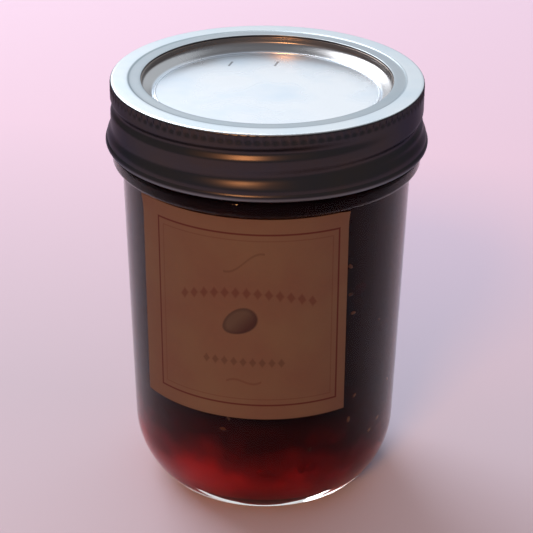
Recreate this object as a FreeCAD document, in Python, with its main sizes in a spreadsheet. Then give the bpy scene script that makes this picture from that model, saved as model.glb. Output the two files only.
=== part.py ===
import FreeCAD, Part
import math
import os
import Sketcher

# Half-pint preserving jar filled with jam: a tapered glass jar, its filling, a flat metal lid
# held down by a screw band, and a square paper label.  Millimetres, +Z up.  The origin is at the
# centre of the base, on the surface the jar stands on, and the label faces -Y.

SIZES = {
    # overall
    "closed_height": 99.0,
    # glass body
    "body_inset": 0.1,
    "body_taper": 2.15,
    "heel_round": 20.0,
    "bearing_round": 2.5,
    "bearing_width": 2.6,
    "pushup_depth": 1.2,
    "pushup_edge": 0.8,
    "floor_height": 3.6,
    "floor_inset": 0.5,
    "floor_round": 2.5,
    "cavity_lift": 1.0,
    "glass_wall": 2.65,
    # shoulder ring under the screw band
    "shoulder_gap": 0.55,
    "shoulder_overhang": 2.1,
    "shoulder_rise": 4.3,
    "shoulder_round": 1.2,
    # glass finish, the threaded mouth
    "finish_radius": 33.2,
    "finish_wall": 3.5,
    "rim_round": 0.7,
    "thread_pitch": 5.08,
    "thread_depth": 1.2,
    "thread_root": 2.6,
    "thread_crest": 0.9,
    "thread_rise": 7.1,
    # filling
    "headspace": 6.4,
    "jam_fit": 0.05,
    # flat lid
    "lid_overhang": 1.0,
    "lid_sheet": 0.25,
    "recess_gap": 1.4,
    "recess_step": 1.4,
    "cone_width": 2.9,
    "panel_drop": 3.5,
    "panel_bead": 0.25,
    "panel_bead_width": 0.9,
    # screw band
    "band_sheet": 0.4,
    "band_clearance": 0.7,
    "band_corner": 0.7,
    "hole_lap": 0.2,
    "ring_inner_width": 2.8,
    "ring_step": 0.15,
    "skirt_length": 10.9,
    "flare_length": 2.3,
    "curl_drop": 14.2,
    "curl_radius": 1.05,
    "curl_inner_round": 0.6,
    "curl_outer_round": 0.95,
    "bead_flare": 1.25,
    "groove_depth": 0.8,
    "groove_mouth": 3.2,
    "groove_floor": 0.7,
    "ridge_crest": 1.4,
    "groove_rise": 6.4,
    "groove_lead_in": 10.6,
    "flute_count": 114,
    "flute_radius": 1.6,
    "flute_depth": 0.2,
    "flute_top": 0.75,
    "flute_bottom": 2.0,
    # label
    "label_width": 50.8,
    "label_height": 50.4,
    "label_gap": 0.4,
    "label_paper": 0.15,
}

# The heel's corner, as shares of the heel's rounding radius: how high and how far in it reaches.
HEEL_RISE = 0.35
HEEL_INSET = 0.3025
# The inside of the heel is rounded to this share of the outside.
HEEL_INSIDE = 0.5

# Directions about the axis, in degrees from +X, counterclockwise seen from above.
LABEL_FACING = 270.0
GROOVE_START = 210.0
THREAD_START = 224.0


class Size:
    """A length with its number and the spreadsheet expression that gives it."""

    def __init__(self, value, text):
        self.value = value
        self.text = text

    def joined(self, other, sign, value):
        text = other.text if isinstance(other, Size) else repr(other)
        return Size(value, "(" + self.text + " " + sign + " " + text + ")")

    def __add__(self, other):
        return self.joined(other, "+", self.value + number(other))

    def __sub__(self, other):
        return self.joined(other, "-", self.value - number(other))

    def __mul__(self, other):
        return self.joined(other, "*", self.value * number(other))

    def __truediv__(self, other):
        return self.joined(other, "/", self.value / number(other))


def number(size):
    """The number of a Size or of a plain number."""
    return size.value if isinstance(size, Size) else size


# A point on the jar's axis, and the surface that the jar stands on.
AXIS = Size(0, "0")
GROUND = Size(0, "0")


def make_sheet(doc):
    """Write the driving dimensions to a spreadsheet and return them as Size values."""
    sheet = doc.addObject("Spreadsheet::Sheet", "Sizes")
    for row, (name, value) in enumerate(SIZES.items(), start=1):
        sheet.set("A" + str(row), name)
        sheet.set("B" + str(row), repr(value))
        sheet.setAlias("B" + str(row), name)
    doc.recompute()
    return {name: Size(value, "Sizes." + name) for name, value in SIZES.items()}


def make_body(doc, label):
    """A new body whose Label names its file."""
    body = doc.addObject("PartDesign::Body", label)
    body.Label = label
    return body


def new_sketch(body, name, role, offset=FreeCAD.Placement()):
    """An empty sketch on one of the body's own origin planes."""
    plane = [feature for feature in body.Origin.OriginFeatures if feature.Role == role][0]
    sketch = body.newObject("Sketcher::SketchObject", name)
    sketch.AttachmentSupport = [(plane, "")]
    sketch.MapMode = "FlatFace"
    sketch.AttachmentOffset = offset
    return sketch


def locate(sketch, geometry, point, x, y):
    """Fix a sketch point at x, y from the sketch's origin, bound to the spreadsheet."""
    for kind, axis, size in (("DistanceX", -2, x), ("DistanceY", -1, y)):
        if number(size) == 0:
            sketch.addConstraint(Sketcher.Constraint("PointOnObject", geometry, point, axis))
        else:
            place = Sketcher.Constraint(kind, -1, 1, geometry, point, number(size))
            index = sketch.addConstraint(place)
            sketch.setExpression("Constraints[" + str(index) + "]", size.text)


def corner_arc(before, corner, after, rounding):
    """Tangent points and the arc that round off a corner; the arc runs counterclockwise."""
    entry = (corner - before).normalize()
    leave = (after - corner).normalize()
    turn = entry.getAngle(leave)
    reach = rounding * math.tan(turn / 2)
    start, end = corner - entry * reach, corner + leave * reach
    left = entry.x * leave.y - entry.y * leave.x > 0
    side = FreeCAD.Vector(-entry.y, entry.x, 0) * (1 if left else -1)
    centre = start + side * rounding
    first, last = (start, end) if left else (end, start)
    angles = [math.atan2(tip.y - centre.y, tip.x - centre.x) for tip in (first, last)]
    circle = Part.Circle(centre, FreeCAD.Vector(0, 0, 1), rounding)
    return start, end, Part.ArcOfCircle(circle, angles[0], angles[1]), left


def draw_outline(sketch, corners):
    """Close straight runs through corners given as (x, y) or, rounded off, as (x, y, radius)."""
    points = [FreeCAD.Vector(number(c[0]), number(c[1]), 0) for c in corners]
    count = len(corners)
    starts, ends, arcs = list(points), list(points), {}
    for i, corner in enumerate(corners):
        if len(corner) == 3:
            after = points[(i + 1) % count]
            ends[i], starts[i], arc, left = corner_arc(points[i - 1], points[i], after, number(corner[2]))
            arcs[i] = (sketch.addGeometry(arc), left)
    runs = [Part.LineSegment(starts[i], ends[(i + 1) % count]) for i in range(count)]
    lines = [sketch.addGeometry(run) for run in runs]
    for i, corner in enumerate(corners):
        before, after = lines[i - 1], lines[i]
        if i not in arcs:
            sketch.addConstraint(Sketcher.Constraint("Coincident", before, 2, after, 1))
            locate(sketch, after, 1, corner[0], corner[1])
            continue
        arc, left = arcs[i]
        vertex = sketch.addGeometry(Part.Point(points[i]), True)
        sketch.addConstraint(Sketcher.Constraint("Tangent", before, 2, arc, 1 if left else 2))
        sketch.addConstraint(Sketcher.Constraint("Tangent", arc, 2 if left else 1, after, 1))
        sketch.addConstraint(Sketcher.Constraint("PointOnObject", vertex, 1, before))
        sketch.addConstraint(Sketcher.Constraint("PointOnObject", vertex, 1, after))
        locate(sketch, vertex, 1, corner[0], corner[1])
        radius = sketch.addConstraint(Sketcher.Constraint("Radius", arc, number(corner[2])))
        sketch.setExpression("Constraints[" + str(radius) + "]", corner[2].text)


def about_axis(degrees):
    """The attachment offset that turns an XZ sketch about the jar's axis."""
    turn = FreeCAD.Rotation(FreeCAD.Vector(0, 1, 0), degrees)
    return FreeCAD.Placement(FreeCAD.Vector(), turn)


def revolve(body, name, corners, start=0.0, sweep=None):
    """Turn an outline about the jar's axis, all the way round or through a sweep in degrees."""
    sketch = new_sketch(body, name + "Outline", "XZ_Plane", about_axis(start))
    draw_outline(sketch, corners)
    turned = body.newObject("PartDesign::Revolution", name)
    turned.Profile = sketch
    turned.ReferenceAxis = (sketch, ["V_Axis"])
    if sweep is None:
        turned.Angle = 360
    else:
        turned.setExpression("Angle", sweep.text)
    return turned


def wind(body, kind, name, corners, start, pitch, rise):
    """Sweep an outline up a right-handed helix that climbs by rise; kind adds or cuts it."""
    sketch = new_sketch(body, name + "Outline", "XZ_Plane", about_axis(start))
    draw_outline(sketch, corners)
    helix = body.newObject("PartDesign::" + kind + "Helix", name)
    helix.Profile = sketch
    helix.ReferenceAxis = (sketch, ["V_Axis"])
    helix.Mode = "pitch-height-angle"
    helix.setExpression("Pitch", pitch.text)
    helix.setExpression("Height", rise.text)
    helix.LeftHanded = False
    return helix


def shared_levels(size):
    """Heights and radii that more than one piece shares."""
    top = size["closed_height"]
    level = {}
    level["lid_top"] = top - size["ring_step"] - size["band_sheet"]
    level["rim"] = level["lid_top"] - size["lid_sheet"]
    level["band_bottom"] = top - size["curl_drop"] - size["curl_radius"]
    level["shoulder_top"] = level["band_bottom"] - size["shoulder_gap"]
    level["body_top"] = level["shoulder_top"] - size["shoulder_rise"]
    level["body_top_radius"] = size["finish_radius"] - size["body_inset"]
    level["body_foot_radius"] = level["body_top_radius"] - size["body_taper"]
    level["heel_rise"] = size["heel_round"] * HEEL_RISE
    level["bearing_radius"] = level["body_foot_radius"] - size["heel_round"] * HEEL_INSET
    level["cavity_top_radius"] = level["body_top_radius"] - size["glass_wall"]
    level["cavity_foot_radius"] = level["body_foot_radius"] - size["glass_wall"]
    level["cavity_foot"] = level["heel_rise"] + size["cavity_lift"]
    level["cavity_round"] = size["heel_round"] * HEEL_INSIDE
    level["floor_radius"] = level["bearing_radius"] - size["floor_inset"]
    level["mouth_radius"] = size["finish_radius"] - size["finish_wall"]
    level["recess_radius"] = level["mouth_radius"] - size["recess_gap"]
    level["band_inside"] = size["finish_radius"] + size["thread_depth"] + size["band_clearance"]
    level["band_radius"] = level["band_inside"] + size["band_sheet"]
    level["jam_top"] = level["rim"] - size["headspace"]
    return level


def make_glass_jar(doc, size, level):
    """Tapered jar with a raised base, a shoulder ring and a threaded finish."""
    body = make_body(doc, "glass_jar")
    land = level["bearing_radius"] - size["bearing_width"]
    shoulder = size["finish_radius"] + size["shoulder_overhang"]
    revolve(body, "JarWall", [
        (AXIS, size["pushup_depth"]),
        (land - size["pushup_edge"], size["pushup_edge"]),
        (land, GROUND),
        (level["bearing_radius"], GROUND, size["bearing_round"]),
        (level["body_foot_radius"], level["heel_rise"], size["heel_round"]),
        (level["body_top_radius"], level["body_top"]),
        (shoulder, level["body_top"] + size["shoulder_round"] / 2, size["shoulder_round"]),
        (shoulder, level["shoulder_top"], size["shoulder_round"]),
        (size["finish_radius"], level["shoulder_top"]),
        (size["finish_radius"], level["rim"], size["rim_round"]),
        (level["mouth_radius"], level["rim"], size["rim_round"]),
        (level["mouth_radius"], level["shoulder_top"]),
        (level["cavity_top_radius"], level["body_top"]),
        (level["cavity_foot_radius"], level["cavity_foot"], level["cavity_round"]),
        (level["floor_radius"], size["floor_height"], size["floor_round"]),
        (AXIS, size["floor_height"]),
    ])
    # The thread lies midway between the turns of the groove pressed in the screw band.
    middle = size["closed_height"] - size["groove_lead_in"] - size["thread_pitch"] / 2
    inside = size["finish_radius"] - size["thread_depth"] / 2
    crest = size["finish_radius"] + size["thread_depth"]
    wind(body, "Additive", "GlassThread", [
        (inside, middle - size["thread_root"] / 2),
        (crest, middle - size["thread_crest"] / 2),
        (crest, middle + size["thread_crest"] / 2),
        (inside, middle + size["thread_root"] / 2),
    ], THREAD_START, size["thread_pitch"], size["thread_rise"])
    return body


def make_jam(doc, size, level):
    """The filling, up to a headspace below the rim."""
    body = make_body(doc, "jam")
    fit = size["jam_fit"]
    revolve(body, "JamFill", [
        (AXIS, size["floor_height"] + fit),
        (level["floor_radius"] - fit, size["floor_height"] + fit, size["floor_round"]),
        (level["cavity_foot_radius"] - fit, level["cavity_foot"], level["cavity_round"]),
        (level["cavity_top_radius"] - fit, level["body_top"]),
        (level["mouth_radius"] - fit, level["shoulder_top"]),
        (level["mouth_radius"] - fit, level["jam_top"]),
        (AXIS, level["jam_top"]),
    ])
    return body


def make_lid_disc(doc, size, level):
    """Pressed flat lid: a flange on the glass rim round a sunken panel."""
    body = make_body(doc, "lid_disc")
    sheet = size["lid_sheet"]
    flange = level["lid_top"]
    edge = size["finish_radius"] + size["lid_overhang"]
    recess = level["recess_radius"]
    step = flange - size["recess_step"]
    panel = size["closed_height"] - size["panel_drop"]
    panel_radius = recess - size["cone_width"]
    bead_foot = panel_radius + size["panel_bead_width"]
    bead_crest = panel_radius + size["panel_bead_width"] / 2
    bead_top = panel + size["panel_bead"]
    upper = [
        (edge, flange),
        (recess, flange),
        (recess - sheet, step),
        (bead_foot, panel),
        (bead_crest, bead_top),
        (panel_radius, panel),
        (AXIS, panel),
    ]
    lower = [
        (AXIS, panel - sheet),
        (panel_radius, panel - sheet),
        (bead_crest, bead_top - sheet),
        (bead_foot, panel - sheet),
        (recess, step - sheet),
        (recess + sheet, flange - sheet),
        (edge, flange - sheet),
    ]
    revolve(body, "LidPressing", upper + lower)
    return body


def make_screw_band(doc, size, level):
    """Screw band: a ring over the lid, a fluted corner, a pressed thread and a rolled bead."""
    body = make_body(doc, "screw_band")
    top = size["closed_height"]
    sheet = size["band_sheet"]
    outer, inner = level["band_radius"], level["band_inside"]
    hole = level["recess_radius"] + size["hole_lap"]
    step = hole + size["ring_inner_width"]
    ring_inside = step + size["ring_step"]
    flare = top - size["skirt_length"]
    neck = flare - size["flare_length"]
    curl = level["band_bottom"]
    bead = outer + size["bead_flare"]
    curl_middle = bead - size["curl_radius"]
    curl_inside = curl_middle - size["curl_radius"]
    bead_top = curl + size["curl_radius"] * 2
    revolve(body, "BandWall", [
        (outer, flare),
        (outer, top, size["band_corner"]),
        (ring_inside, top),
        (step, top - size["ring_step"]),
        (hole, top - size["ring_step"]),
        (hole, level["lid_top"]),
        (step, level["lid_top"]),
        (ring_inside, top - sheet),
        (inner, top - sheet, size["band_corner"] - sheet),
        (inner, flare),
        (curl_middle, neck),
        (curl_inside, neck - size["curl_radius"] / 2),
        (curl_inside, curl, size["curl_inner_round"]),
        (bead, curl, size["curl_outer_round"]),
        (bead, bead_top, size["curl_outer_round"]),
    ])
    # Pressed thread: a ridge inside the skirt, then the groove that backs it outside.
    middle = top - size["groove_lead_in"]
    floor = outer - size["groove_depth"]
    ridge = floor - sheet
    wind(body, "Additive", "InnerRidge", [
        (inner + sheet / 2, middle - size["groove_mouth"] / 2),
        (inner + sheet / 2, middle + size["groove_mouth"] / 2),
        (ridge, middle + size["ridge_crest"] / 2),
        (ridge, middle - size["ridge_crest"] / 2),
    ], GROOVE_START, size["thread_pitch"], size["groove_rise"])
    wind(body, "Subtractive", "OuterGroove", [
        (outer + sheet, middle - size["groove_mouth"] / 2),
        (floor, middle - size["groove_floor"] / 2),
        (floor, middle + size["groove_floor"] / 2),
        (outer + sheet, middle + size["groove_mouth"] / 2),
    ], GROOVE_START, size["thread_pitch"], size["groove_rise"])
    add_flutes(body, size, level)
    return body


def add_flutes(body, size, level):
    """Shallow upright flutes round the band's top corner, for grip."""
    flute_z = size["closed_height"] - size["flute_top"]
    sketch = new_sketch(body, "FluteOutline", "XY_Plane")
    sketch.setExpression("AttachmentOffset.Base.z", flute_z.text)
    centre = level["band_radius"] + size["flute_radius"] - size["flute_depth"]
    middle = FreeCAD.Vector(centre.value, 0, 0)
    upright = FreeCAD.Vector(0, 0, 1)
    circle = sketch.addGeometry(Part.Circle(middle, upright, size["flute_radius"].value))
    locate(sketch, circle, 3, centre, GROUND)
    radius = sketch.addConstraint(Sketcher.Constraint("Radius", circle, size["flute_radius"].value))
    sketch.setExpression("Constraints[" + str(radius) + "]", size["flute_radius"].text)
    flute = body.newObject("PartDesign::Pocket", "Flute")
    flute.Profile = sketch
    flute.setExpression("Length", (size["flute_bottom"] - size["flute_top"]).text)
    ring = body.newObject("PartDesign::PolarPattern", "Flutes")
    ring.Originals = [flute]
    ring.Axis = (sketch, ["N_Axis"])
    ring.Angle = 360
    ring.setExpression("Occurrences", size["flute_count"].text)
    body.Tip = ring


def make_paper_label(doc, size, level):
    """Square label that lies round the front of the glass body."""
    body = make_body(doc, "paper_label")
    body_height = level["body_top"] - level["heel_rise"]
    taper = size["body_taper"] / body_height
    high = level["body_top"] - size["label_gap"]
    low = high - size["label_height"]
    low_radius = level["body_foot_radius"] + taper * (low - level["heel_rise"])
    high_radius = level["body_foot_radius"] + taper * (high - level["heel_rise"])
    sweep = size["label_width"] / ((low_radius + high_radius) / 2) * (180 / math.pi)
    revolve(body, "LabelPaper", [
        (low_radius, low),
        (low_radius + size["label_paper"], low),
        (high_radius + size["label_paper"], high),
        (high_radius, high),
    ], LABEL_FACING - sweep.value / 2, sweep)
    return body


def main():
    doc = FreeCAD.newDocument("jam_jar")
    size = make_sheet(doc)
    level = shared_levels(size)
    makers = (make_glass_jar, make_jam, make_lid_disc, make_screw_band, make_paper_label)
    bodies = [make(doc, size, level) for make in makers]
    doc.recompute()
    for item in doc.Objects:
        if "Invalid" in item.State or "Error" in item.State:
            raise RuntimeError(item.Name + " did not build")
    for body in bodies:
        if body.Shape.isNull() or not body.Shape.isValid():
            raise RuntimeError(body.Label + " has no valid shape")
    os.makedirs("parts", exist_ok=True)
    for body in bodies:
        body.Shape.exportStep("parts/" + body.Label + ".step")


main()
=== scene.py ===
import bpy
import math
import random
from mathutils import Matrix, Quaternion, Vector


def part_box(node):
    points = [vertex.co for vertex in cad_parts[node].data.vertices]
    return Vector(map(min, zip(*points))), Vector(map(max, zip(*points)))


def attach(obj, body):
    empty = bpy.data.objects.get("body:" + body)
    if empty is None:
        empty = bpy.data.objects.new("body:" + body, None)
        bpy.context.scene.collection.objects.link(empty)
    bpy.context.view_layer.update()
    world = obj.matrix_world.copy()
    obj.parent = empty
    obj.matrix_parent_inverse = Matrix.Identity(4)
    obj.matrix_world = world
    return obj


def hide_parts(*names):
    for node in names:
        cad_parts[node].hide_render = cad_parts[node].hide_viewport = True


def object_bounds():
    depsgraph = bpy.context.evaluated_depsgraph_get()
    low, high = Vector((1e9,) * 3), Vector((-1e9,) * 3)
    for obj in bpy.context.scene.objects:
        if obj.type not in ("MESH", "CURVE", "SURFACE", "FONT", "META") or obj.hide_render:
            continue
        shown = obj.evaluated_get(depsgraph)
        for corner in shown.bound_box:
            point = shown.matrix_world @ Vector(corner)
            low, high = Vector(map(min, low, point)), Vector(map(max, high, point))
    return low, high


# A half-pint preserving jar of dark red jam: clear glass, its filling with fruit and seeds, a flat
# metal lid, a screw band and a printed paper label.  Lengths are in millimetres and are turned to
# metres by MM.

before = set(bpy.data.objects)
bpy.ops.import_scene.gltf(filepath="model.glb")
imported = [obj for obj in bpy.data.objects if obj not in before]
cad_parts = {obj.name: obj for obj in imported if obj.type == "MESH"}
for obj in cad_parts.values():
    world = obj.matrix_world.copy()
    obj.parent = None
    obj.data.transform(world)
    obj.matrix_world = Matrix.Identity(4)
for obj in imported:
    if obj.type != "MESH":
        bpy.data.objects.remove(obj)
cad_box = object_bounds()

MM = 0.001
TURN = 2 * math.pi

TOP = cad_box[1][2] / MM
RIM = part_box("glass_jar")[1][2] / MM
JAM_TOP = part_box("jam")[1][2] / MM
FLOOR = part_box("jam")[0][2] / MM
LID_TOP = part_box("lid_disc")[1][2] / MM
SHOULDER_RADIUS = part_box("glass_jar")[1][0] / MM
BEAD_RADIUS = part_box("screw_band")[1][0] / MM
BAND_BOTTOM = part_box("screw_band")[0][2] / MM
LABEL_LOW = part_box("paper_label")[0][2] / MM
LABEL_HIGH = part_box("paper_label")[1][2] / MM

# glass
BODY_TOP_RADIUS, BODY_TOP = 33.1, 78.9
BODY_FOOT_RADIUS, BODY_FOOT = 30.95, 7.0
WALL = 2.65
FINISH_RADIUS, MOUTH_RADIUS = 33.2, 29.7
SHOULDER_TOP = 83.2
THREAD_PITCH = 5.08
# lid
LID_RADIUS, RECESS_RADIUS, PANEL_RADIUS = 34.2, 28.3, 26.15
LID_SHEET = 0.25
PANEL_DROP, RECESS_STEP = 3.5, 1.4
# band
BAND_RADIUS = 35.5
BAND_SHEET = 0.4
HOLE_RADIUS, STEP_RADIUS = 28.5, 31.3
RING_STEP = 0.15
BAND_CORNER = 0.7
SKIRT_LENGTH, FLARE_LENGTH, FLARE_WIDTH = 10.3, 2.6, 0.85
CURL_RADIUS = 1.05
FLUTES = 114
FLUTE_TOP, FLUTE_BOTTOM, FLUTE_DEPTH = 0.28, 2.7, 0.3
GROOVE_START, GROOVE_LEAD_IN, GROOVE_TURNS = 210, 10.6, 1.36
GROOVE_WIDTH, GROOVE_DEPTH = 3.6, 0.8
# label
LABEL_WIDTH = 50.8
LABEL_PAPER = 0.15


# ---------------------------------------------------------------- modelling helpers

def body_radius(height):
    """The glass body's outer radius at a height on its tapered wall."""
    share = (height - BODY_FOOT) / (BODY_TOP - BODY_FOOT)
    return BODY_FOOT_RADIUS + (BODY_TOP_RADIUS - BODY_FOOT_RADIUS) * share


def arc(radius, height, size, start, end, steps):
    """Points (radius, height) on an arc round a centre, from one angle in degrees to another."""
    angles = [math.radians(start + (end - start) * i / steps) for i in range(steps + 1)]
    return [(radius + size * math.cos(a), height + size * math.sin(a)) for a in angles]


def corner(before, vertex, after, size, steps):
    """Points round the corner at vertex, on an arc of this size that touches both its sides."""
    vertex = Vector(vertex)
    back = (Vector(before) - vertex).normalized()
    ahead = (Vector(after) - vertex).normalized()
    half = back.angle(ahead) / 2
    middle = (back + ahead).normalized()
    centre = vertex + middle * (size / math.sin(half))
    first = vertex + back * (size / math.tan(half)) - centre
    last = vertex + ahead * (size / math.tan(half)) - centre
    turn = first.angle_signed(last)
    points = []
    for i in range(steps + 1):
        angle = math.atan2(first.y, first.x) - turn * i / steps
        points.append((centre.x + size * math.cos(angle), centre.y + size * math.sin(angle)))
    return points


def run(first, last, steps):
    """Evenly spaced points after first, up to and with last."""
    return [tuple(a + (b - a) * i / steps for a, b in zip(first, last)) for i in range(1, steps + 1)]


def lathe(name, rings, segments, start_pole=None, end_pole=None):
    """Turn rings of (radius, height) about the axis; a pole is the height at which an end closes."""
    bpy.ops.object.select_all(action="DESELECT")
    radius, height = rings[0]
    bpy.ops.mesh.primitive_circle_add(
        vertices=segments, radius=radius * MM, location=(0, 0, height * MM))
    piece = bpy.context.object
    piece.name = name
    bpy.ops.object.transform_apply(location=True, rotation=True, scale=True)
    bpy.ops.object.mode_set(mode="EDIT")
    path = list(rings[1:])
    if start_pole is not None:
        close_pole(start_pole - height)
        select_ring(piece, radius, height)
    for new_radius, new_height in path:
        bpy.ops.mesh.extrude_region_move(
            TRANSFORM_OT_translate={"value": (0, 0, (new_height - height) * MM)})
        scale = new_radius / radius
        bpy.ops.transform.resize(value=(scale, scale, 1), center_override=(0, 0, new_height * MM))
        radius, height = new_radius, new_height
    if end_pole is not None:
        close_pole(end_pole - height)
    bpy.ops.mesh.select_all(action="SELECT")
    bpy.ops.mesh.remove_doubles(threshold=1e-6)
    bpy.ops.mesh.normals_make_consistent(inside=False)
    bpy.ops.object.mode_set(mode="OBJECT")
    return piece


def close_pole(rise):
    """Close the selected ring with a fan to the axis."""
    bpy.ops.mesh.extrude_region_move(TRANSFORM_OT_translate={"value": (0, 0, rise * MM)})
    bpy.ops.mesh.merge(type="CENTER")


def select_ring(piece, radius, height):
    """Select the vertices of one ring, in edit mode."""
    bpy.ops.mesh.select_all(action="DESELECT")
    bpy.ops.object.mode_set(mode="OBJECT")
    for vertex in piece.data.vertices:
        place = vertex.co / MM
        vertex.select = abs(math.hypot(place.x, place.y) - radius) < 0.01 and abs(place.z - height) < 0.01
    bpy.ops.object.mode_set(mode="EDIT")


def reshape(piece, rule):
    """Move each vertex to rule(radius, angle, height), which gives the new radius and height."""
    for vertex in piece.data.vertices:
        place = vertex.co / MM
        radius, angle = math.hypot(place.x, place.y), math.atan2(place.y, place.x)
        radius, height = rule(radius, angle, place.z)
        vertex.co = Vector((radius * math.cos(angle), radius * math.sin(angle), height)) * MM


def ease(share):
    """Smooth step from 0 to 1."""
    share = min(max(share, 0.0), 1.0)
    return share * share * (3 - 2 * share)


def helix(angle, height, start, base, turns, width, fade_in, fade_out):
    """How strongly a right-handed thread acts at a place: 0 off it, 1 on its centre."""
    strongest = 0.0
    first = ((angle - math.radians(start)) / TURN) % 1.0
    for whole in range(math.ceil(turns)):
        turn = first + whole
        offset = abs(height - base - THREAD_PITCH * turn) / (width / 2)
        if turn <= turns and offset < 1:
            ends = ease(turn / fade_in) * ease((turns - turn) / fade_out)
            strongest = max(strongest, ends * (0.5 + 0.5 * math.cos(math.pi * offset)))
    return strongest


def finish_piece(piece, material, smooth=35):
    """Smooth shading up to an angle, material and body."""
    bpy.ops.object.select_all(action="DESELECT")
    piece.select_set(True)
    bpy.context.view_layer.objects.active = piece
    bpy.ops.object.shade_smooth_by_angle(angle=math.radians(smooth))
    piece.data.materials.clear()
    piece.data.materials.append(material)
    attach(piece, "root")
    return piece


# ---------------------------------------------------------------- shader helpers

class Wire:
    """A node's output; arithmetic on it adds Math nodes."""

    def __init__(self, nodes, socket):
        self.nodes = nodes
        self.socket = socket

    def maths(self, operation, *values):
        return self.nodes.add("ShaderNodeMath", {"operation": operation}, dict(enumerate(values)))

    def __add__(self, other):
        return self.maths("ADD", self, other)

    def __radd__(self, other):
        return self.maths("ADD", other, self)

    def __sub__(self, other):
        return self.maths("SUBTRACT", self, other)

    def __rsub__(self, other):
        return self.maths("SUBTRACT", other, self)

    def __mul__(self, other):
        return self.maths("MULTIPLY", self, other)

    def __rmul__(self, other):
        return self.maths("MULTIPLY", other, self)

    def __truediv__(self, other):
        return self.maths("DIVIDE", self, other)

    def __abs__(self):
        return self.maths("ABSOLUTE", self)

    def over(self, limit):
        return self.maths("GREATER_THAN", self, limit)

    def highest(self, other):
        return self.maths("MAXIMUM", self, other)


class Nodes:
    """The node tree of one new material."""

    def __init__(self, name):
        self.material = bpy.data.materials.new(name)
        self.material.use_nodes = True
        self.tree = self.material.node_tree
        self.tree.nodes.clear()

    def add(self, kind, settings=None, inputs=None, output=0):
        """Add a node, apply its settings, then set or link its inputs; give one output."""
        node = self.tree.nodes.new(kind)
        for key, value in (settings or {}).items():
            if key == "stops":
                self.set_stops(node.color_ramp, value)
            else:
                setattr(node, key, value)
        for key, value in (inputs or {}).items():
            if isinstance(value, Wire):
                self.tree.links.new(value.socket, node.inputs[key])
            else:
                node.inputs[key].default_value = value
        return Wire(self, node.outputs[output])

    def set_stops(self, ramp, stops):
        """Give a colour ramp its stops, each a position and a colour."""
        while len(ramp.elements) < len(stops):
            ramp.elements.new(1.0)
        for element, (position, colour) in zip(ramp.elements, stops):
            element.position = position
            element.color = colour

    def place(self):
        """Object coordinates in millimetres, as three values."""
        spot = self.add("ShaderNodeTexCoord", output="Object")
        split = [self.add("ShaderNodeSeparateXYZ", {}, {0: spot}, axis) for axis in range(3)]
        return [value * (1 / MM) for value in split]

    def noise(self, spot, scale, detail=3.0, roughness=0.55):
        return self.add("ShaderNodeTexNoise", {}, {
            "Vector": spot, "Scale": scale, "Detail": detail, "Roughness": roughness})

    def blend(self, share, first, second):
        """Mix two colours, given as wires or as (r, g, b, 1)."""
        settings = {"data_type": "RGBA", "clamp_factor": True}
        return self.add("ShaderNodeMix", settings, {0: share, 6: first, 7: second}, 2)

    def ramp(self, value, stops):
        return self.add("ShaderNodeValToRGB", {"stops": stops}, {0: value})

    def band(self, value, low, high):
        """A value as its share of the way from low to high, clamped."""
        return self.add("ShaderNodeMapRange", {"clamp": True}, {0: value, 1: low, 2: high})

    def bump(self, height, distance, strength=1.0):
        return self.add("ShaderNodeBump", {}, {
            "Height": height, "Distance": distance * MM, "Strength": strength})

    def surface(self, inputs):
        """A Principled shader with these inputs, as the material's surface."""
        return self.output(self.add("ShaderNodeBsdfPrincipled", {}, inputs))

    def output(self, shader):
        self.add_output(shader)
        return self.material

    def add_output(self, shader):
        node = self.tree.nodes.new("ShaderNodeOutputMaterial")
        self.tree.links.new(shader.socket, node.inputs["Surface"])


def colour(red, green, blue):
    """An sRGB colour of 0 to 255 as linear values for a socket."""
    shares = [value / 255 for value in (red, green, blue)]
    linear = [s / 12.92 if s <= 0.04045 else ((s + 0.055) / 1.055) ** 2.4 for s in shares]
    return (*linear, 1.0)


# ---------------------------------------------------------------- materials

def glass_material():
    """Clear moulded glass that lets the lamps through."""
    nodes = Nodes("clear_glass")
    shader = nodes.add("ShaderNodeBsdfPrincipled", {}, {
        "Base Color": (0.96, 0.97, 0.96, 1), "Roughness": 0.0, "IOR": 1.4,
        "Specular Tint": (0.2, 0.2, 0.2, 1), "Transmission Weight": 1.0})
    clear = nodes.add("ShaderNodeBsdfTransparent", {}, {"Color": (0.92, 0.94, 0.93, 1)})
    lamp = nodes.add("ShaderNodeLightPath", output="Is Shadow Ray")
    return nodes.output(nodes.add("ShaderNodeMixShader", {}, {0: lamp, 1: shader, 2: clear}))


def jam_material():
    """Jam: nearly black maroon above. It is painted bright crimson down at the heel as painted glow of
    light coming through the glass base, with pulp streaks.
    """
    nodes = Nodes("jam")
    x, y, z = nodes.place()
    spot = nodes.add("ShaderNodeTexCoord", output="Object")
    pulp = nodes.noise(spot, 120.0, 3.0, 0.5)
    broad = nodes.noise(spot, 38.0, 2.0)
    rise = z + (broad - 0.5) * 20 + (pulp - 0.5) * 15
    # painted glow: the ramp runs from bright crimson at the heel, as if lit through the glass base, to
    # dark maroon higher up
    painted_heel_glow = nodes.ramp(nodes.band(rise, 3.0, 30.0), [
        (0.0, colour(178, 38, 42)), (0.22, colour(150, 29, 34)), (0.4, colour(98, 20, 26)),
        (0.62, colour(46, 10, 15)), (1.0, colour(30, 12, 16))])
    # pulp streaks, painted crimson only low down as part of the painted glow
    pulp_with_painted_glow = nodes.band(pulp, 0.52, 0.78) * nodes.band(26 - z, 0, 18) * 0.5
    flesh_and_painted_glow = nodes.blend(pulp_with_painted_glow, painted_heel_glow, colour(150, 26, 34))
    return nodes.surface({
        "Base Color": flesh_and_painted_glow, "Roughness": 0.45, "Specular IOR Level": 0.0})


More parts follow.
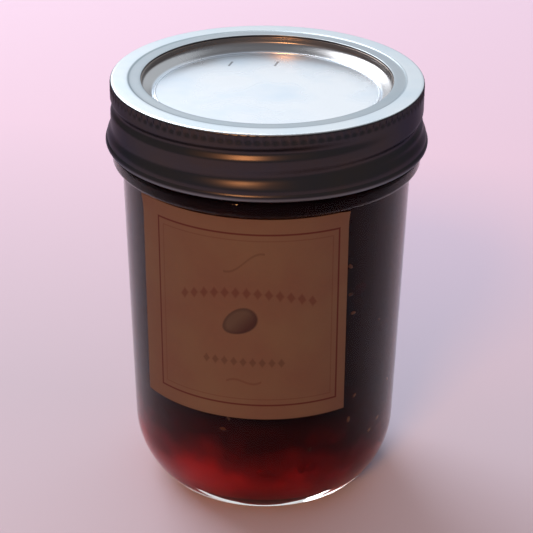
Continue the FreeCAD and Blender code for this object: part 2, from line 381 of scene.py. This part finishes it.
def fruit_material():
    """Soft cut fruit, a little redder than the jam round it, painted bright crimson low down as painted
    glow like the jam.
    """
    nodes = Nodes("fruit")
    height = nodes.place()[2]
    spot = nodes.add("ShaderNodeTexCoord", output="Object")
    grain = nodes.noise(spot, 420.0, 3.0)
    high = nodes.blend(nodes.band(grain, 0.35, 0.7), colour(30, 9, 13), colour(44, 11, 16))
    # painted glow: lumps low in the jar take brighter crimson, as if lit through the glass base
    low = nodes.blend(nodes.band(grain, 0.35, 0.7), colour(92, 14, 20), colour(124, 22, 28))
    flesh_and_painted_glow = nodes.blend(nodes.band(height, 9.0, 22.0), low, high)
    return nodes.surface({
        "Base Color": flesh_and_painted_glow, "Roughness": 0.5, "Specular IOR Level": 0.0})


def seed_material():
    """Pale brown seeds stained by the jam."""
    nodes = Nodes("seed")
    spot = nodes.add("ShaderNodeTexCoord", output="Object")
    stain = nodes.noise(spot, 160.0, 1.0)
    shell = nodes.blend(nodes.band(stain, 0.35, 0.6), colour(122, 76, 50), colour(52, 20, 18))
    return nodes.surface({
        "Base Color": shell, "Roughness": 0.5, "Specular IOR Level": 0.1})


def lid_material():
    """Tin-plated lid: satin plate, its coned wall and recess painted duller and warmer as painted shade
    and reflection.
    """
    nodes = Nodes("lid_metal")
    x, y, z = nodes.place()
    spot = nodes.add("ShaderNodeTexCoord", output="Object")
    smudge = nodes.noise(spot, 45.0, 3.0)
    radius = (x * x + y * y).maths("SQRT", x * x + y * y)
    plate = nodes.blend(nodes.band(smudge, 0.4, 0.7), colour(236, 241, 246), colour(208, 224, 238))
    # painted shade and reflection: past the panel's edge, the cone and recess wall take a grey tone low
    # down and a brown tone higher up
    wall = nodes.band(radius, PANEL_RADIUS - 0.2, PANEL_RADIUS + 0.2)
    painted_recess_shade = nodes.blend(nodes.band(z, TOP - 2.2, TOP - 1.6), colour(176, 178, 180), colour(136, 126, 120))
    tone = nodes.blend(wall, plate, painted_recess_shade)
    for across, along in ((-11.8, 15.4), (-1.3, 17.8)):
        beside = abs(x - across - (y - along) * 0.08)
        stroke = nodes.band(beside, 0.35, 0.15) * (1.6 - abs(y - along)).over(0.0)
        tone = nodes.blend(stroke * 0.7, tone, colour(70, 76, 84))
    rough = nodes.band(smudge, 0.3, 0.8) * 0.1 + 0.24
    return nodes.surface({"Base Color": tone, "Metallic": 1.0, "Roughness": rough})


def band_material():
    """Screw band of one tinplate: bright satin ring on top, and a skirt below it painted dark as painted
    shade and reflection.
    """
    nodes = Nodes("band_metal")
    x, y, z = nodes.place()
    spot = nodes.add("ShaderNodeTexCoord", output="Object")
    smudge = nodes.noise(spot, 60.0, 3.0)
    radius = (x * x + y * y).maths("SQRT", x * x + y * y)
    ring = nodes.blend(nodes.band(smudge, 0.4, 0.7), colour(242, 250, 254), colour(222, 236, 244))
    # painted shade: the ring's inner zone inside the step, and a thin line at the step itself, are
    # darkened towards grey-blue
    inner = nodes.band(radius, STEP_RADIUS + 0.1, STEP_RADIUS - 0.2)
    painted_step_shade = nodes.band(abs(radius - STEP_RADIUS), 0.45, 0.1)
    ring = nodes.blend((inner * 0.3).highest(painted_step_shade * 0.65), ring, colour(120, 138, 146))
    # painted shade and reflection: below the rim the same tinplate is given a dark colour, as if it
    # reflected a dark room
    painted_shade_skirt = nodes.blend(nodes.band(smudge, 0.35, 0.7), colour(66, 65, 70), colour(76, 68, 64))
    shaded_skirt_mask = nodes.band(TOP - 0.2 - z, -0.08, 0.08)
    # painted highlight: the rolled bead's lowest edge is given a lighter grey, as if it caught the light
    painted_shade_skirt = nodes.blend(nodes.band(z, BAND_BOTTOM + 1.2, BAND_BOTTOM + 0.6), painted_shade_skirt, colour(128, 132, 134))
    plate = nodes.blend(shaded_skirt_mask, ring, painted_shade_skirt)
    rough = nodes.band(smudge, 0.3, 0.8) * 0.08 + 0.28
    return nodes.surface({
        "Base Color": plate, "Metallic": 1.0, "Roughness": rough,
        "Specular Tint": (0.45, 0.46, 0.5, 1)})


def label_material():
    """Paper printed with rule lines and plain ornament, its brown tone partly the paper's own tan and
    partly painted shade.
    """
    nodes = Nodes("label_paper")
    x, y, z = nodes.place()
    angle = x.maths("ARCTAN2", x, y * -1.0)
    across = angle * (body_radius(z) + LABEL_PAPER)
    up = z - (LABEL_LOW + LABEL_HIGH) / 2
    spot = nodes.add("ShaderNodeTexCoord", output="Object")
    fibres = nodes.noise(spot, 900.0, 4.0)
    cloud = nodes.noise(spot, 70.0, 2.0)
    # partly painted shade: the paper's own tan is darkened to brown, as if the label's front lay in
    # shadow
    paper = nodes.blend(nodes.band(cloud, 0.3, 0.7), colour(119, 93, 70), colour(115, 83, 65))
    paper = nodes.blend(nodes.band(fibres, 0.45, 0.8) * 0.25, paper, colour(130, 90, 68))
    ink = colour(84, 26, 20)

    frame_x = abs(across - 1.6) - 21.55
    frame_y = abs(up) - 21.5
    edge = frame_x.highest(frame_y)
    paper = nodes.blend(nodes.band(abs(edge), 0.3, 0.12) * 0.85, paper, ink)
    paper = nodes.blend(nodes.band(abs(edge + 1.5), 0.2, 0.08) * 0.25, paper, ink)

    paper = lozenge_row(nodes, paper, across - 2.2, up, (45.2, 7.1, 16.2, 2.46, 0.98, 1.35), ink, 0.45)
    dark = colour(66, 38, 26)
    paper = lozenge_row(nodes, paper, across - 1.4, up, (400.0, -10.4, 9.6, 2.15, 0.82, 1.15), dark, 0.4)
    paper = berry(nodes, paper, across - 0.6, up + 0.2)
    paper = flourish(nodes, paper, across - 1.6, up - 14.5, 4.6, 1.5, dark)
    paper = flourish(nodes, paper, across - 1.5, up + 15.5, 4.0, -1.1, ink)
    return nodes.surface({
        "Base Color": paper, "Roughness": 0.75, "Specular IOR Level": 0.25,
        "Normal": nodes.bump(fibres, 0.02)})


def lozenge_row(nodes, paper, across, up, size, ink, strength):
    """Print a row of plain lozenges along an arch: its radius, top, half width, pitch and half sizes."""
    radius, top, half, pitch, wide, tall = size
    bow = across * across / (2 * radius)
    lift = up - top + bow
    cell = (across / pitch).maths("ROUND", across / pitch)
    local = abs(across - cell * pitch) / wide
    shape = local + abs(lift) / tall
    inked = nodes.band(shape, 1.25, 0.7) * (half - abs(across)).over(0.0)
    return nodes.blend(inked * strength, paper, ink)


def berry(nodes, paper, across, up):
    """Print a berry leaning to the right: an egg shape, darker round its lower edge."""
    lean = math.radians(32)
    long = across * math.cos(lean) + up * math.sin(lean)
    short = up * math.cos(lean) - across * math.sin(lean)
    swell = long * 0.12 + 2.9
    far = ((long / 4.2) * (long / 4.2) + (short / swell) * (short / swell))
    far = far.maths("SQRT", far)
    fill = nodes.blend(nodes.band(short - long * 0.25, 0.8, -2.4), colour(92, 74, 60), colour(70, 44, 38))
    rim = nodes.band(far, 0.75, 0.98)
    fill = nodes.blend(rim * 0.6, fill, colour(62, 42, 36))
    return nodes.blend(nodes.band(far, 1.08, 0.96), paper, fill)


def flourish(nodes, paper, across, up, half, height, ink):
    """Print a faint curling pen line."""
    wave = (across * (2.2 / half)).maths("SINE", across * (2.2 / half))
    line = abs(up - across * 0.25 - wave * height)
    inked = nodes.band(line, 0.42, 0.12) * (half - abs(across)).over(0.0)
    return nodes.blend(inked * 0.3, paper, ink)


# ---------------------------------------------------------------- pieces

def make_glass(material):
    """Glass jar: push-up, bearing ring, heel, taper, shoulder ring, threaded finish and cavity."""
    land, foot, heel = (22.3, 0.0), (24.9, 0.0), (BODY_FOOT_RADIUS, BODY_FOOT)
    body_top = (BODY_TOP_RADIUS, BODY_TOP)
    rings = [(21.5, 0.8), (21.9, 0.35), land]
    rings += corner(land, foot, heel, 2.5, 6)
    rings += corner(foot, heel, body_top, 20.0, 18)
    rings += run(rings[-1], body_top, 24)
    rings += arc(SHOULDER_RADIUS - 1.2, BODY_TOP + 1.75, 1.2, -60, 0, 6)
    rings += arc(SHOULDER_RADIUS - 1.2, SHOULDER_TOP - 1.2, 1.2, 0, 90, 8)
    rings += [(FINISH_RADIUS, SHOULDER_TOP)]
    rings += run(rings[-1], (FINISH_RADIUS, RIM - 0.7), 44)
    rings += arc(FINISH_RADIUS - 0.7, RIM - 0.7, 0.7, 0, 90, 6)[1:]
    rings += arc(MOUTH_RADIUS + 0.7, RIM - 0.7, 0.7, 90, 180, 6)
    rings += run(rings[-1], (MOUTH_RADIUS, SHOULDER_TOP), 6)
    rings += [(BODY_TOP_RADIUS - WALL, BODY_TOP)]
    rings += cavity(0.0)
    piece = lathe("glass_jar_visual", rings, 192, 1.2, FLOOR)
    reshape(piece, glass_thread)
    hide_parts("glass_jar")
    return finish_piece(piece, material)


def cavity(spread):
    """The inside of the glass from below the shoulder to the floor, grown by spread."""
    top = (BODY_TOP_RADIUS - WALL + spread, BODY_TOP)
    heel = (28.3 + spread, 8.0 - spread / 2)
    edge = (24.4 + spread / 2, FLOOR - spread)
    middle = (2.0, FLOOR - spread)
    points = corner(top, heel, edge, 10.0, 14)
    points = run(top, points[0], 20) + points[1:]
    points += corner(heel, edge, middle, 2.5, 6)
    return points + run(points[-1], middle, 6)


def glass_thread(radius, angle, height):
    """Raise the right-handed thread on the outside of the finish."""
    if radius > FINISH_RADIUS - 0.2 and SHOULDER_TOP + 0.1 < height < RIM - 0.8:
        radius += 1.2 * helix(angle, height, 224, TOP - 12.8, 1.4, 3.4, 0.08, 0.08)
    return radius, height


def make_jam(material):
    """The filling, which reaches just into the glass all over."""
    grow = 0.2
    rings = [(MOUTH_RADIUS + grow, JAM_TOP)]
    rings += run(rings[-1], (MOUTH_RADIUS + grow, SHOULDER_TOP), 4)
    rings += run(rings[-1], (BODY_TOP_RADIUS - WALL + grow, BODY_TOP), 4)
    rings += cavity(grow)
    piece = lathe("jam_visual", rings, 128, JAM_TOP, FLOOR - grow)
    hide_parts("jam")
    return finish_piece(piece, material)


def wall_spot(height, angle, sink):
    """A place on the cavity's tapered wall, this far into the glass, as a point."""
    radius = body_radius(height) - WALL + sink
    return Vector((radius * math.cos(angle), radius * math.sin(angle), height)) * MM


def scatter(name, model, places):
    """Copy a model to every place, given as a point, turns and scales, and join the copies."""
    copies = []
    for point, turns, scales in places:
        copy = model.copy()
        copy.data = model.data.copy()
        bpy.context.scene.collection.objects.link(copy)
        copy.location, copy.rotation_euler, copy.scale = point, turns, scales
        copies.append(copy)
    bpy.data.objects.remove(model)
    bpy.ops.object.select_all(action="DESELECT")
    for copy in copies:
        copy.select_set(True)
    bpy.context.view_layer.objects.active = copies[0]
    bpy.ops.object.transform_apply(location=True, rotation=True, scale=True)
    bpy.ops.object.join()
    piece = bpy.context.object
    piece.name = name
    return piece


def make_fruit(material):
    """Lumps of fruit pressed against the glass, most of them low down."""
    bpy.ops.object.select_all(action="DESELECT")
    bpy.ops.mesh.primitive_uv_sphere_add(segments=16, ring_count=10, radius=MM)
    model = bpy.context.object
    places = []
    for _ in range(70):
        angle = random.uniform(0, TURN)
        height = 11 + 62 * random.random() ** 1.7
        wide, tall = random.uniform(1.6, 4.6), random.uniform(1.2, 3.2)
        turns = (random.uniform(-0.5, 0.5), 0, angle)
        places.append((wall_spot(height, angle, -0.45), turns, (0.8, wide, tall)))
    piece = scatter("fruit", model, places)
    return finish_piece(piece, material)


def make_seeds(material):
    """Small seeds lying against the glass."""
    bpy.ops.object.select_all(action="DESELECT")
    bpy.ops.mesh.primitive_uv_sphere_add(segments=10, ring_count=6, radius=MM)
    model = bpy.context.object
    places = []
    for _ in range(64):
        angle = random.uniform(0, TURN)
        height = random.uniform(10, 76)
        turns = (random.uniform(0, TURN), 0, angle)
        size = random.uniform(0.8, 1.15)
        places.append((wall_spot(height, angle, 0.1), turns, (0.3 * size, 0.42 * size, 0.7 * size)))
    piece = scatter("seeds", model, places)
    return finish_piece(piece, material)


def make_lid(material):
    """Pressed lid: flange, wall, cone, small bead and flat panel."""
    panel, wall = TOP - PANEL_DROP, LID_TOP - RECESS_STEP
    edge = (LID_RADIUS, LID_TOP)
    upper = run((2.0, panel), (25.0, panel), 6)
    upper += arc(25.4, panel - 0.08, 0.3, 165, 15, 6) + [(25.85, panel - 0.12), (26.0, panel)]
    upper += run((PANEL_RADIUS, panel + 0.2), (RECESS_RADIUS - 0.15, wall - 0.12), 5)
    upper += [(RECESS_RADIUS, wall + 0.1), (RECESS_RADIUS, LID_TOP - 0.5)]
    upper += arc(RECESS_RADIUS + 0.2, LID_TOP - 0.2, 0.2, 180, 90, 4) + [(31.0, LID_TOP), edge]
    rings = [(2.0, panel)] + upper + [(LID_RADIUS, LID_TOP - LID_SHEET)]
    rings += [(radius + 0.2, height - LID_SHEET) for radius, height in reversed(upper[:-1])]
    rings += [(2.0, panel - LID_SHEET)]
    piece = lathe("lid_disc_visual", rings, FLUTES * 3, panel, panel - LID_SHEET)
    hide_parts("lid_disc")
    return finish_piece(piece, material)


def make_band(material):
    """Screw band: stepped ring, fluted corner, pressed thread, flare and rolled bead."""
    inner = BAND_RADIUS - BAND_SHEET
    bead_centre = BEAD_RADIUS - CURL_RADIUS
    bead_height = BAND_BOTTOM + CURL_RADIUS
    low = TOP - RING_STEP
    corner_radius, corner_height = BAND_RADIUS - BAND_CORNER, TOP - BAND_CORNER
    skirt_end = TOP - SKIRT_LENGTH
    rings = [(HOLE_RADIUS, LID_TOP - 0.1)]
    rings += arc(HOLE_RADIUS + 0.2, low - 0.2, 0.2, 180, 90, 4)
    rings += run(rings[-1], (STEP_RADIUS - 0.25, low), 4)
    rings += [(STEP_RADIUS - 0.1, low + 0.02), (STEP_RADIUS + 0.1, TOP - 0.02)]
    rings += [(STEP_RADIUS + 0.25, TOP)]
    rings += run(rings[-1], (BAND_RADIUS - 0.8, TOP), 4)
    rings += arc(corner_radius, corner_height, BAND_CORNER, 85, 0, 7)
    rings += run(rings[-1], (BAND_RADIUS, TOP - 2.3), 11)
    rings += run(rings[-1], (BAND_RADIUS, skirt_end), 28)
    rings += [(BAND_RADIUS + FLARE_WIDTH * ease(i / 9), skirt_end - FLARE_LENGTH * i / 9)
              for i in range(1, 10)]
    rings += arc(bead_centre, bead_height, CURL_RADIUS, 50, -180, 16)
    rings += [(bead_centre - 0.9, bead_height + 0.8), (inner + 0.4, TOP - 12.2)]
    rings += run((inner + 0.4, TOP - 12.2), (inner, TOP - 10.9), 2)
    rings += run(rings[-1], (inner, TOP - 0.9), 24)
    rings += arc(corner_radius, corner_height, BAND_CORNER - BAND_SHEET, 0, 90, 3)
    rings += [(STEP_RADIUS + 0.25, TOP - BAND_SHEET), (STEP_RADIUS - 0.1, LID_TOP)]
    rings += [(HOLE_RADIUS + 0.1, LID_TOP - 0.1)]
    rings += [rings[0]]
    piece = lathe("screw_band_visual", rings, FLUTES * 6)
    reshape(piece, band_pressing)
    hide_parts("screw_band")
    return finish_piece(piece, material)


def band_pressing(radius, angle, height):
    """Press the thread into the skirt and the round-topped flutes into its top corner."""
    down = TOP - height
    if radius > BAND_RADIUS - BAND_SHEET - 0.05 and down > 2.4:
        groove = helix(angle, height, GROOVE_START, TOP - GROOVE_LEAD_IN, GROOVE_TURNS, GROOVE_WIDTH,
                       0.45, 0.16)
        radius -= GROOVE_DEPTH * groove
    if radius > BAND_RADIUS - 0.75 and 0.15 < down < 2.8:
        across = abs((angle * FLUTES / TURN + 0.5) % 1.0 - 0.5) / 0.4
        if across < 1.0:
            rounded_top = ease((down - FLUTE_TOP - 0.5 * across * across) / 0.2)
            arch = rounded_top * ease((FLUTE_BOTTOM - down) / 1.4)
            radius -= FLUTE_DEPTH * arch * (1 - across ** 4)
    return radius, height


def make_label(material):
    """Square paper label wrapped on the glass, with its top corners lifting a little."""
    low, high = LABEL_LOW, LABEL_HIGH
    steps_up, steps_round = 24, 72
    bpy.ops.object.select_all(action="DESELECT")
    bpy.ops.mesh.primitive_grid_add(x_subdivisions=steps_round, y_subdivisions=steps_up, size=2)
    piece = bpy.context.object
    piece.name = "paper_label_visual"
    for vertex in piece.data.vertices:
        across, up = vertex.co.x, vertex.co.y
        height = low + (high - low) * (up + 1) / 2
        lift = 0.5 * ease((abs(across) - 0.9) / 0.1) * ease((up - 0.88) / 0.12)
        radius = body_radius(height) + LABEL_PAPER / 2 + 0.02 + lift
        angle = across * LABEL_WIDTH / 2 / body_radius(height)
        vertex.co = Vector((radius * math.sin(angle), -radius * math.cos(angle), height)) * MM
    solid = piece.modifiers.new("paper", "SOLIDIFY")
    solid.thickness = LABEL_PAPER * MM
    solid.offset = 0.0
    bpy.ops.object.modifier_apply(modifier=solid.name)
    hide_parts("paper_label")
    return finish_piece(piece, material)


# ---------------------------------------------------------------- stage

def make_stage():
    """A pale floor, greyer and darker towards the front as painted shade, soft lamps and the world."""
    bpy.ops.object.select_all(action="DESELECT")
    bpy.ops.mesh.primitive_plane_add(size=6, location=(0, 0, 0))
    floor = bpy.context.object
    floor.name = "floor"
    nodes = Nodes("floor")
    y = nodes.place()[1]
    # painted shade: the floor is darker lavender-grey near the front and paler pink towards the back
    tone = nodes.blend(nodes.band(y, 20.0, 200.0), colour(204, 196, 214), colour(232, 207, 228))
    floor.data.materials.append(nodes.surface({"Base Color": tone, "Roughness": 0.8}))

    world = bpy.data.worlds.new("studio")
    bpy.context.scene.world = world
    world.use_nodes = True
    world.node_tree.nodes["Background"].inputs["Color"].default_value = (0.93, 0.93, 1.0, 1)
    world.node_tree.nodes["Background"].inputs["Strength"].default_value = 0.27

    add_lamp("key_softbox", (-0.6, 0.6, 0.85), 0.7, 9.0, (1.0, 0.98, 1.0))
    add_lamp("back_panel", (-0.05, 1.0, 0.6), 1.7, 6.6, (0.93, 0.97, 1.0))
    add_lamp("warm_fill", (-0.08, -0.58, 0.56), 0.16, 2.3, (1.0, 0.42, 0.14))


def add_lamp(name, place, size, power, tint):
    """A square soft lamp aimed at the jar."""
    data = bpy.data.lights.new(name, "AREA")
    data.size = size
    data.energy = power
    data.color = tint
    lamp = bpy.data.objects.new(name, data)
    bpy.context.scene.collection.objects.link(lamp)
    lamp.location = place
    aim = Vector((0, 0, 0.05)) - lamp.location
    lamp.rotation_euler = aim.to_track_quat("-Z", "Y").to_euler()


def make_camera():
    """The camera, above and a little to the right of the label."""
    azimuth, elevation, distance = math.radians(11.0), math.radians(26.03), 0.45
    data = bpy.data.cameras.new("camera")
    data.sensor_width = 36.0
    data.lens = 128.4
    camera = bpy.data.objects.new("camera", data)
    bpy.context.scene.collection.objects.link(camera)
    back = Vector((
        math.cos(elevation) * math.sin(azimuth),
        -math.cos(elevation) * math.cos(azimuth),
        math.sin(elevation)))
    right = Vector((math.cos(azimuth), math.sin(azimuth), 0))
    over = right.cross(-back)
    aim = Vector((0, 0, 0.05)) + over * 0.00108 + right * 0.00025
    camera.location = aim + back * distance
    look = (-back).to_track_quat("-Z", "Y")
    camera.rotation_mode = "QUATERNION"
    camera.rotation_quaternion = look @ Quaternion(Vector((0, 0, 1)), math.radians(0.58))
    bpy.context.scene.camera = camera


random.seed(7)
make_glass(glass_material())
make_jam(jam_material())
make_fruit(fruit_material())
make_seeds(seed_material())
make_lid(lid_material())
make_band(band_material())
make_label(label_material())
make_stage()
make_camera()

bpy.context.scene.view_settings.view_transform = "Standard"
